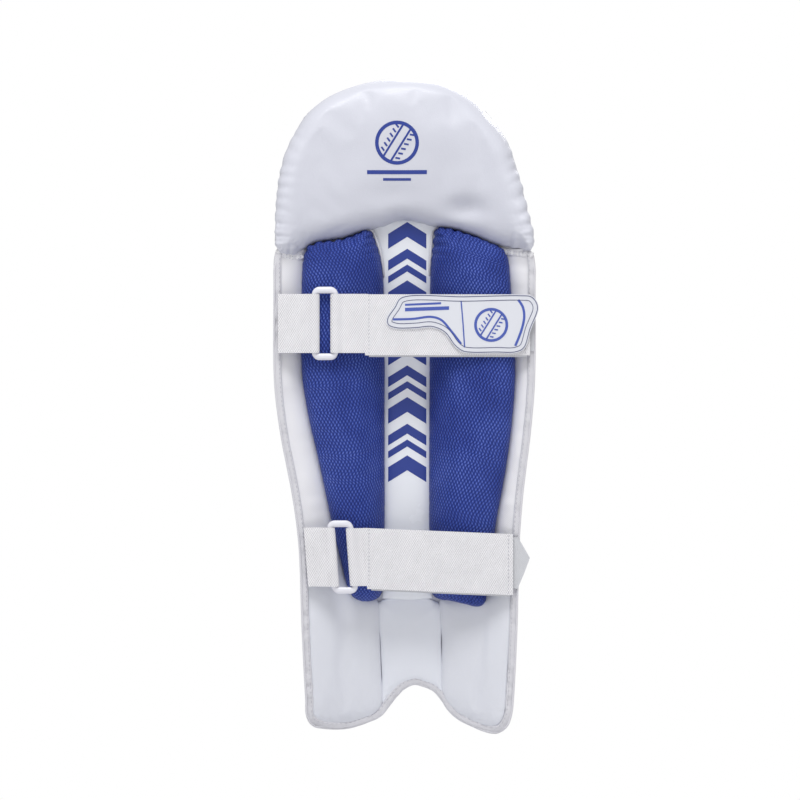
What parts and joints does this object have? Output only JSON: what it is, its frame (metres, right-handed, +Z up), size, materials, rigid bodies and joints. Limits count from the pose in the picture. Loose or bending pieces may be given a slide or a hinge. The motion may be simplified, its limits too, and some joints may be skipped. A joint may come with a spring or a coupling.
{
  "type": "cricket leg pad",
  "caption": "Wicket-keeping leg pad with a domed top hat, padded calf bolsters, a scalloped foot and two ring-and-strap fastenings.",
  "frame": {"origin": "foot of the shin line, level with the pad's lowest edge, on the inner face of the shin: where the leg holds the pad", "axes": "+Z up the leg, +Y out of the front face of the pad, +X to the side where the straps close"},
  "size_m": [0.2643, 0.0842, 0.6544],
  "materials": {
    "white_pu": "smooth white PU leather, fine grain, semi-matte",
    "channel_pu": "smooth white PU, glossier, printed in blue",
    "blue_mesh": "blue knitted air mesh, matt",
    "white_nylon": "woven white nylon lining",
    "binding": "white binding tape, stitched",
    "webbing": "off-white twill webbing",
    "ring_plastic": "white moulded plastic",
    "hook_tape": "light grey hook and loop tape",
    "foam": "closed-cell foam",
    "board": "stiff fibre board",
    "cane": "foam roll stiffened with split cane"
  },
  "bodies": {
    "root": {"bolster_left_core": "foam", "bolster_left_cover": "blue_mesh", "bolster_right_core": "foam", "bolster_right_cover": "blue_mesh", "bottom_binding": "binding", "channel_panel": "channel_pu", "edge_binding_left": "binding", "edge_binding_right": "binding", "front_cover": "white_pu", "instep_centre_core": "foam", "instep_centre_cover": "white_pu", "instep_left_core": "foam", "instep_left_cover": "white_pu", "instep_right_core": "foam", "instep_right_cover": "white_pu", "knee_roll_core_1": "foam", "knee_roll_cover_1": "white_pu", "lower_anchor_webbing": "webbing", "lower_loop_patch": "hook_tape", "shin_board": "board", "shin_roll_core_1": "cane", "shin_roll_core_2": "cane", "shin_roll_core_3": "cane", "shin_roll_core_4": "cane", "shin_roll_core_5": "cane", "shin_roll_core_6": "cane", "shin_roll_core_7": "cane", "side_lining_left": "white_nylon", "side_lining_right": "white_nylon", "upper_anchor_webbing": "webbing", "upper_loop_patch": "hook_tape"},
    "top_hat": {"top_hat_board": "board", "top_hat_cushion_cover": "white_pu", "top_hat_cushion_core": "foam", "knee_roll_cover_2": "white_pu", "knee_roll_core_2": "foam", "knee_roll_cover_3": "white_pu", "knee_roll_core_3": "foam", "top_hat_front_cover": "white_pu", "top_hat_front_core": "foam", "top_hat_piping": "binding"},
    "upper_ring": {"upper_ring": "ring_plastic"},
    "upper_strap": {"upper_fold_webbing": "webbing", "upper_strap_webbing": "webbing", "upper_hook_patch": "hook_tape", "upper_tab_plate": "white_pu"},
    "lower_ring": {"lower_ring": "ring_plastic"},
    "lower_strap": {"lower_fold_webbing": "webbing", "lower_strap_webbing": "webbing", "lower_pull_tab": "hook_tape"}
  },
  "joints": [
    {"name": "knee_flex", "type": "hinge", "parent": "root", "child": "top_hat", "pos_m": [0, -0.012, 0.487], "axis": [1, 0, 0], "range_deg": [-12, 8], "stiffness_Nm_per_rad": 3},
    {"name": "upper_ring_pivot", "type": "hinge", "parent": "root", "child": "upper_ring", "pos_m": [-0.0905, -0.0475, 0.4115], "axis": [0, 0, -1], "range_deg": [0, 60]},
    {"name": "upper_strap_pivot", "type": "hinge", "parent": "upper_ring", "child": "upper_strap", "pos_m": [-0.0695, -0.0475, 0.4115], "axis": [0, 0, -1], "range_deg": [0, 115]},
    {"name": "lower_ring_pivot", "type": "hinge", "parent": "root", "child": "lower_ring", "pos_m": [-0.073, -0.0465, 0.178], "axis": [0.0748, 0, -0.9972], "range_deg": [0, 60]},
    {"name": "lower_strap_pivot", "type": "hinge", "parent": "lower_ring", "child": "lower_strap", "pos_m": [-0.052, -0.0465, 0.178], "axis": [0.0748, 0, -0.9972], "range_deg": [0, 115]}
  ]
}
